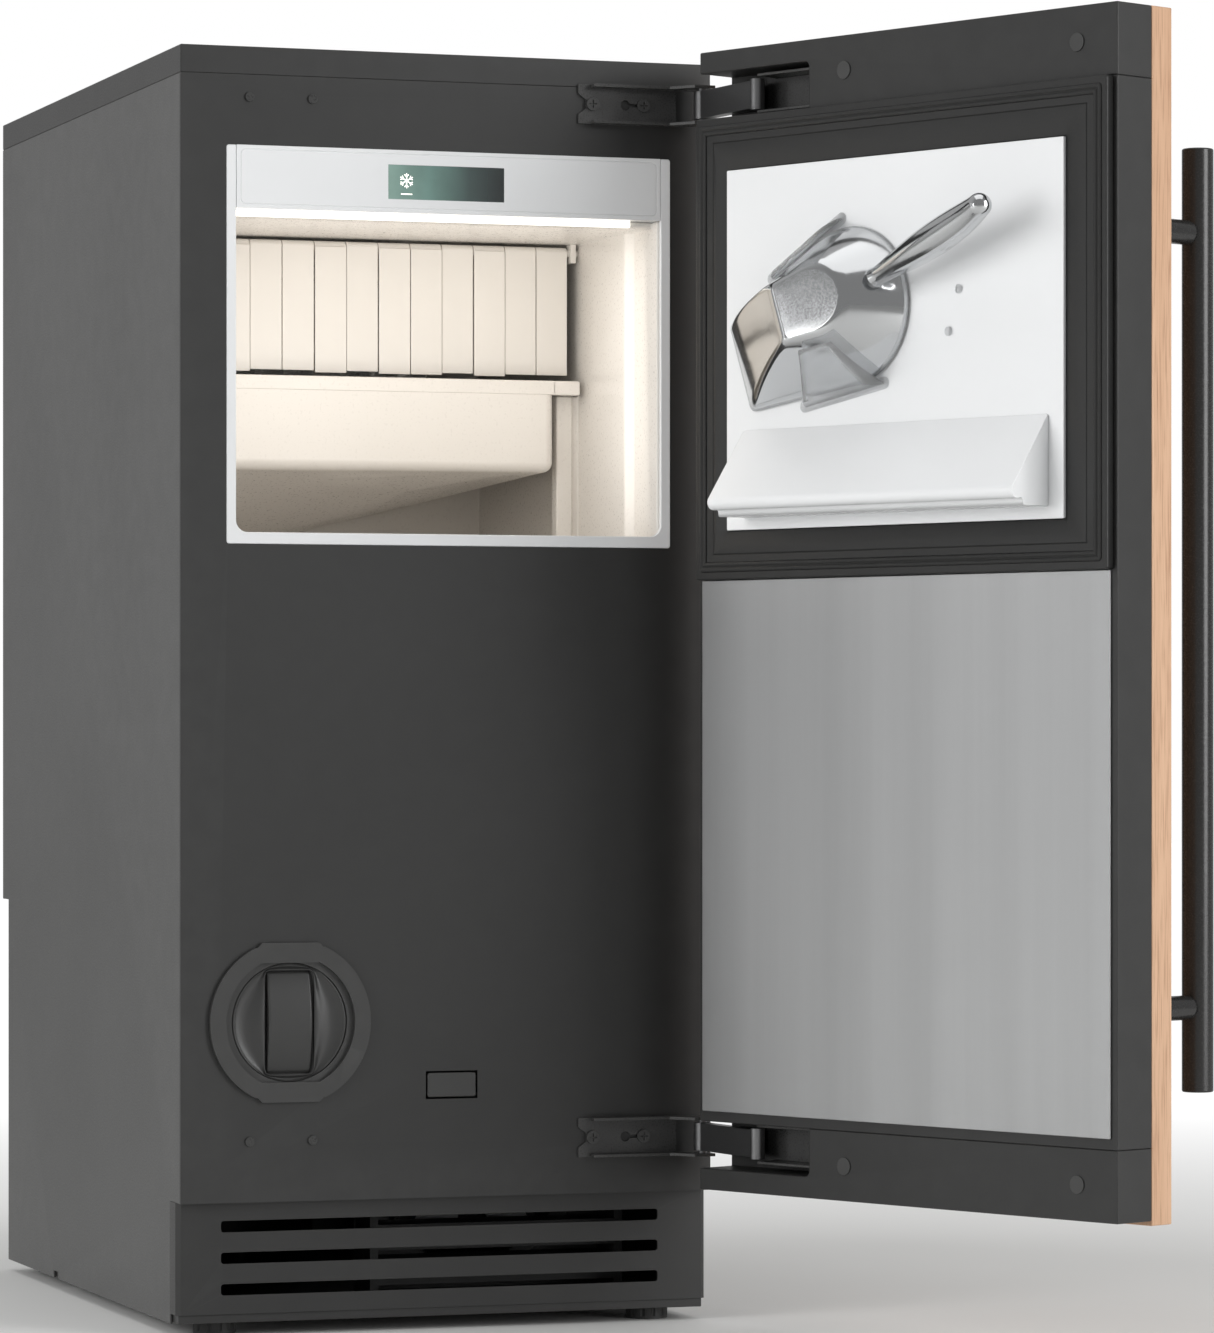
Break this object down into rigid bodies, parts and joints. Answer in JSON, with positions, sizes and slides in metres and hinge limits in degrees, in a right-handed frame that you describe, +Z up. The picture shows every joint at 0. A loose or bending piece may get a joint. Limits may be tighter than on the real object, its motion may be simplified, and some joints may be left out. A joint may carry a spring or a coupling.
{
  "type": "ice maker",
  "caption": "Undercounter ice maker with a panel-ready door, lit bin behind a flap curtain, deflector shelf, scoop, quarter-turn water filter and folding hinges.",
  "frame": {"origin": "on the floor, under the middle of the whole object's box with the door open", "axes": "+X to the cabinet's right, +Y to its back, +Z up"},
  "size_m": [0.6042, 0.9466, 0.87],
  "materials": {
    "dark_steel": "fine-textured satin powder coat",
    "side_steel": "fine-textured satin powder coat",
    "front_steel": "satin powder coat",
    "grille_steel": "satin powder coat",
    "zinc_steel": "galvanised sheet",
    "liner_plastic": "moulded, slightly glossy",
    "curtain_plastic": "soft flexible strips",
    "white_gloss": "glossy moulding",
    "foam": "foamed insulation",
    "display_glass": "dark printed glass",
    "led_diffuser": "lit diffuser",
    "black_plastic": "fine-grained moulding",
    "black_screw": "black oxide",
    "hinge_steel": "black coated steel",
    "link_steel": "grey coated steel",
    "tinned_metal": "tinned copper",
    "pump_plastic": "moulding",
    "valve_metal": "cast body",
    "black_rubber": "soft",
    "compressor_steel": "gloss black enamel",
    "fin_aluminium": "dark coated fins",
    "foot_rubber": "moulded foot",
    "door_black": "smooth satin black",
    "door_frame_plastic": "satin moulding",
    "stainless": "vertical brushed grain",
    "beech": "oiled straight grain",
    "handle_black": "satin black",
    "clear_plastic": "clear moulding",
    "scoop_chrome": "polished",
    "cartridge_white": "moulding",
    "fan_plastic": "moulding"
  },
  "bodies": {
    "cabinet": {"top_cap": "dark_steel", "side_panels": "side_steel", "rear_panels": "zinc_steel", "front_plate": "front_steel", "base_tray": "dark_steel", "kick_grille": "grille_steel", "bin_liner": "liner_plastic", "liner_bezel": "white_gloss", "insulation": "foam", "control_housing": "white_gloss", "display_window": "display_glass", "led_bar": "led_diffuser", "filter_bezel": "black_plastic", "filter_housing": "black_plastic", "front_fasteners": "black_screw", "hinge_brackets": "hinge_steel", "reservoir": "liner_plastic", "curtain_rod": "liner_plastic", "evaporator": "tinned_metal", "circulation_pump": "black_plastic", "drain_pump": "pump_plastic", "inlet_valve": "valve_metal", "cord_gland": "black_rubber", "compressor": "compressor_steel", "condenser": "fin_aluminium", "fan_shroud": "black_plastic", "rear_feet": "foot_rubber"},
    "hinge_links": {"hinge_links": "link_steel"},
    "door": {"door_shell": "door_black", "hinge_bars": "door_black", "bar_plugs": "black_plastic", "inner_frame": "door_frame_plastic", "gasket": "black_rubber", "liner_panel": "white_gloss", "deflector_shelf": "white_gloss", "lower_panel": "stainless", "wood_panel": "beech", "handle_bar": "handle_black", "handle_posts": "handle_black", "hinge_cups": "hinge_steel", "scoop_holder": "clear_plastic"},
    "scoop": {"scoop": "scoop_chrome"},
    "filter_cartridge": {"filter_cartridge": "cartridge_white"},
    "filter_knob": {"filter_knob": "black_plastic"},
    "fan_blade": {"fan_blade": "fan_plastic"},
    "power_button": {"power_button": "black_plastic"},
    "foot_left": {"foot_left": "foot_rubber"},
    "foot_right": {"foot_right": "foot_rubber"},
    "flap_01": {"flap_01": "curtain_plastic"},
    "flap_02": {"flap_02": "curtain_plastic"},
    "flap_03": {"flap_03": "curtain_plastic"},
    "flap_04": {"flap_04": "curtain_plastic"},
    "flap_05": {"flap_05": "curtain_plastic"},
    "flap_06": {"flap_06": "curtain_plastic"},
    "flap_07": {"flap_07": "curtain_plastic"},
    "flap_08": {"flap_08": "curtain_plastic"},
    "flap_09": {"flap_09": "curtain_plastic"},
    "flap_10": {"flap_10": "curtain_plastic"},
    "flap_11": {"flap_11": "curtain_plastic"},
    "flap_12": {"flap_12": "curtain_plastic"}
  },
  "joints": [
    {"name": "door_swing", "type": "hinge", "parent": "cabinet", "child": "door", "pos_m": [0.07793, -0.11223, 0.4835], "axis": [0, 0, 1], "range_deg": [-114.5, 0]},
    {"name": "hinge_link_turn", "type": "hinge", "parent": "cabinet", "child": "hinge_links", "pos_m": [0.06386, -0.08382, 0.4845], "axis": [0, 0, 1], "range_deg": [-90, 0]},
    {"name": "scoop_lift_off", "type": "slide", "parent": "door", "child": "scoop", "axis": [0.1421, -0.9359, 0.3224], "range_m": [0, 0.12]},
    {"name": "filter_pull", "type": "slide", "parent": "cabinet", "child": "filter_cartridge", "axis": [0, -1, 0], "range_m": [0, 0.27]},
    {"name": "filter_knob_turn", "type": "hinge", "parent": "filter_cartridge", "child": "filter_knob", "pos_m": [-0.22614, -0.06682, 0.212], "axis": [0, -1, 0], "range_deg": [0, 90]},
    {"name": "fan_spin", "type": "hinge", "parent": "cabinet", "child": "fan_blade", "pos_m": [-0.06214, 0.04618, 0.112], "axis": [0, -1, 0], "continuous": true},
    {"name": "power_button_press", "type": "slide", "parent": "cabinet", "child": "power_button", "axis": [0, 1, 0], "range_m": [0, 0.0025], "stiffness_N_per_m": 400},
    {"name": "foot_left_turn", "type": "hinge", "parent": "cabinet", "child": "foot_left", "pos_m": [-0.26814, -0.02682, 0], "axis": [0, 0, 1], "continuous": true},
    {"name": "foot_right_turn", "type": "hinge", "parent": "cabinet", "child": "foot_right", "pos_m": [0.04286, -0.02682, 0], "axis": [0, 0, 1], "continuous": true},
    {"name": "flap_01_swing", "type": "hinge", "parent": "cabinet", "child": "flap_01", "pos_m": [-0.24699, 0.09318, 0.7505], "axis": [-1, 0, 0], "range_deg": [0, 60]},
    {"name": "flap_02_swing", "type": "hinge", "parent": "cabinet", "child": "flap_02", "pos_m": [-0.22349, 0.09318, 0.7505], "axis": [-1, 0, 0], "range_deg": [0, 60]},
    {"name": "flap_03_swing", "type": "hinge", "parent": "cabinet", "child": "flap_03", "pos_m": [-0.19999, 0.09318, 0.7505], "axis": [-1, 0, 0], "range_deg": [0, 60]},
    {"name": "flap_04_swing", "type": "hinge", "parent": "cabinet", "child": "flap_04", "pos_m": [-0.17649, 0.09318, 0.7505], "axis": [-1, 0, 0], "range_deg": [0, 60]},
    {"name": "flap_05_swing", "type": "hinge", "parent": "cabinet", "child": "flap_05", "pos_m": [-0.15299, 0.09318, 0.7505], "axis": [-1, 0, 0], "range_deg": [0, 60]},
    {"name": "flap_06_swing", "type": "hinge", "parent": "cabinet", "child": "flap_06", "pos_m": [-0.12949, 0.09318, 0.7505], "axis": [-1, 0, 0], "range_deg": [0, 60]},
    {"name": "flap_07_swing", "type": "hinge", "parent": "cabinet", "child": "flap_07", "pos_m": [-0.10599, 0.09318, 0.7505], "axis": [-1, 0, 0], "range_deg": [0, 60]},
    {"name": "flap_08_swing", "type": "hinge", "parent": "cabinet", "child": "flap_08", "pos_m": [-0.08249, 0.09318, 0.7505], "axis": [-1, 0, 0], "range_deg": [0, 60]},
    {"name": "flap_09_swing", "type": "hinge", "parent": "cabinet", "child": "flap_09", "pos_m": [-0.05899, 0.09318, 0.7505], "axis": [-1, 0, 0], "range_deg": [0, 60]},
    {"name": "flap_10_swing", "type": "hinge", "parent": "cabinet", "child": "flap_10", "pos_m": [-0.03549, 0.09318, 0.7505], "axis": [-1, 0, 0], "range_deg": [0, 60]},
    {"name": "flap_11_swing", "type": "hinge", "parent": "cabinet", "child": "flap_11", "pos_m": [-0.01199, 0.09318, 0.7505], "axis": [-1, 0, 0], "range_deg": [0, 60]},
    {"name": "flap_12_swing", "type": "hinge", "parent": "cabinet", "child": "flap_12", "pos_m": [0.01151, 0.09318, 0.7505], "axis": [-1, 0, 0], "range_deg": [0, 60]}
  ],
  "couplings": [
    {"joint": "hinge_link_turn", "follows": "door_swing", "ratio": 0.786}
  ]
}
